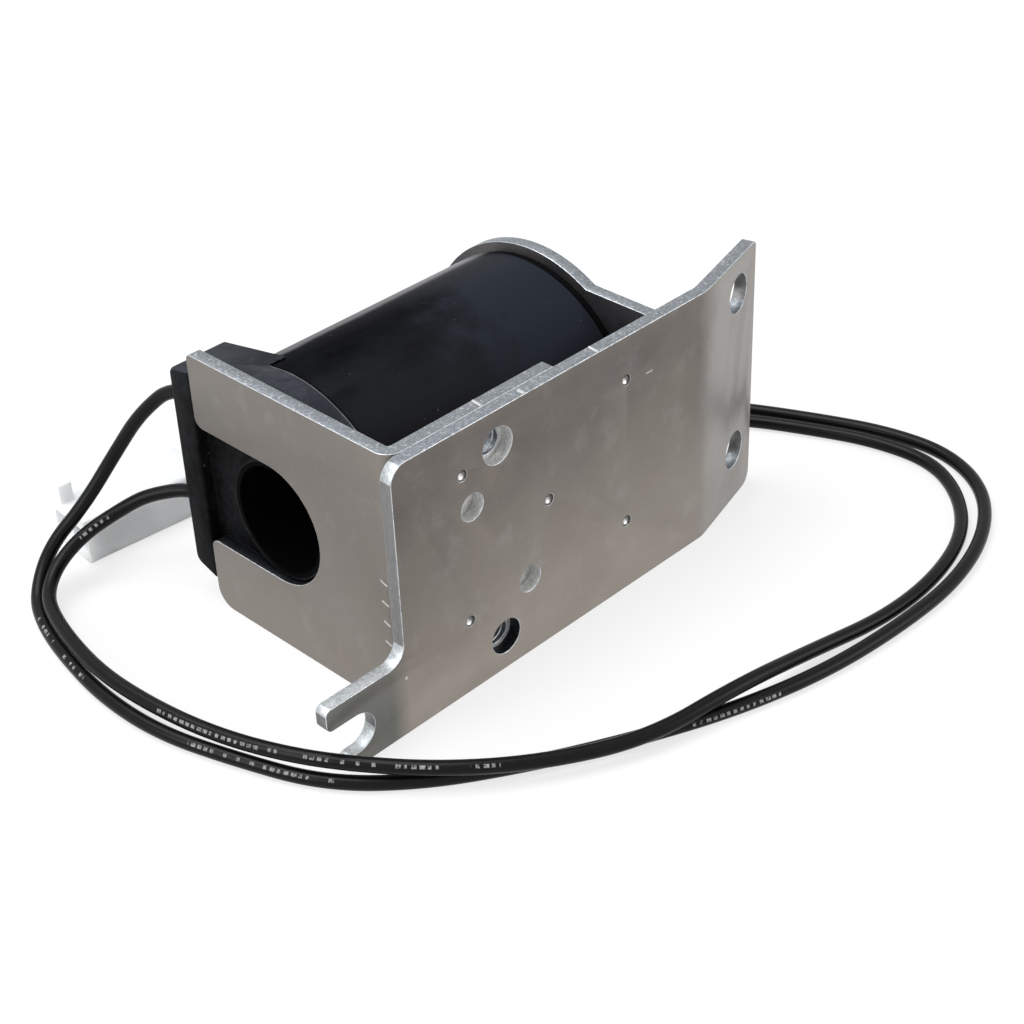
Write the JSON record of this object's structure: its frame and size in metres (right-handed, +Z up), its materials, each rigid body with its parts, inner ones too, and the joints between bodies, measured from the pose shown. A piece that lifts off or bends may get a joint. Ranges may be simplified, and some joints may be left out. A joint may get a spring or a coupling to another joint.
{
  "type": "ice dispenser solenoid",
  "caption": "Open-frame pull solenoid on a steel mounting plate with a slotted hook and an angled flange, with two leads that end in a plug.",
  "frame": {"origin": "middle of the footprint on the table, without the leads and the plug", "axes": "+X along the plunger's axis from the open bore to the closed rear, +Y from the mounting plate to the lead side, +Z up"},
  "size_m": [0.1012, 0.0873, 0.0336],
  "materials": {
    "zinc_steel": "satin zinc plate with bright sheared edges",
    "core_steel": "turned and plated",
    "bobbin_plastic": "black moulded nylon",
    "sleeve_plastic": "black, smooth",
    "cover_plastic": "black with a soft sheen",
    "enamelled_copper": "enamelled copper wire",
    "bare_copper": "bare copper",
    "tinned_brass": "tin plated",
    "winding_tape": "polyester tape",
    "cushion_rubber": "matte black",
    "lead_insulation": "black vinyl",
    "plug_nylon": "natural nylon"
  },
  "bodies": {
    "solenoid": {"frame": "zinc_steel", "mounting_plate": "zinc_steel", "bobbin": "bobbin_plastic", "guide_sleeve": "sleeve_plastic", "winding": "enamelled_copper", "winding_tape": "winding_tape", "winding_ends": "enamelled_copper", "coil_cover": "cover_plastic", "rear_cushion": "cushion_rubber", "fixed_core": "core_steel", "shading_ring": "bare_copper", "splices": "tinned_brass", "splice_sleeves": "winding_tape", "lead_a": "lead_insulation", "lead_b": "lead_insulation", "plug_housing": "plug_nylon", "plug_contacts": "tinned_brass"},
    "plunger": {"plunger": "core_steel"}
  },
  "joints": [
    {"name": "plunger_pull", "type": "slide", "parent": "solenoid", "child": "plunger", "axis": [-1, 0, 0], "range_m": [0, 0.016]}
  ]
}
